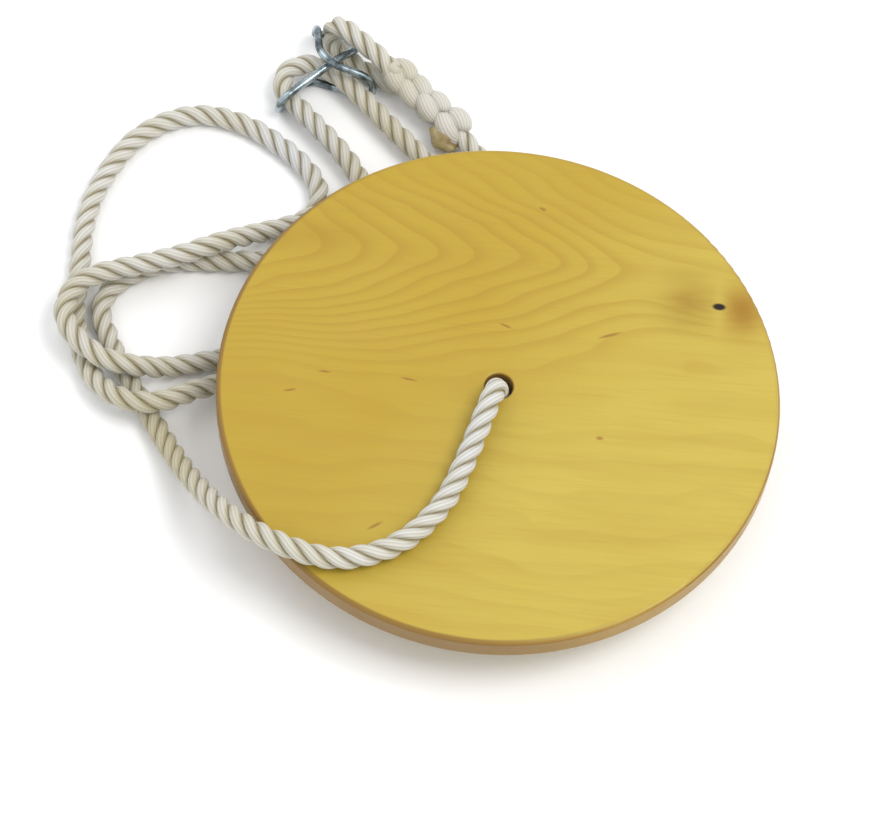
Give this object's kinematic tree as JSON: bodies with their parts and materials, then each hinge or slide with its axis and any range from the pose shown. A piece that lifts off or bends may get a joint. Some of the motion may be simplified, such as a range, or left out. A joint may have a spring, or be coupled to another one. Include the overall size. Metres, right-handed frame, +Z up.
{
  "type": "disc swing",
  "caption": "Round plywood disc swing seat on a knotted rope with a bent wire rope adjuster and a spliced eye, coiled on the floor.",
  "frame": {"origin": "floor point under the centre hole of the seat, on the axis that the seat spins about", "axes": "+Z up through the seat's centre hole; +X to the right and +Y away, seen from the side where the rope crosses the seat's edge"},
  "size_m": [0.395, 0.4006, 0.0632],
  "materials": {
    "plywood": "satin clear varnish",
    "rope": "matte twisted fibre",
    "steel_wire": "zinc plated wire"
  },
  "bodies": {
    "rope": {"stopper_knot": "rope", "rope_main": "rope", "rope_slack": "rope"},
    "seat": {"seat_disc": "plywood"},
    "adjuster": {"rope_adjuster": "steel_wire", "rope_eye": "rope", "eye_splice": "rope", "eye_lead": "rope"}
  },
  "joints": [
    {"name": "seat_spin", "type": "hinge", "parent": "rope", "child": "seat", "pos_m": [0, 0, 0.0395], "axis": [0, 0, 1], "continuous": true},
    {"name": "adjuster_slide", "type": "slide", "parent": "rope", "child": "adjuster", "axis": [0.7071, -0.7071, 0], "range_m": [0, 0.04], "deforming": ["rope_slack"]}
  ]
}
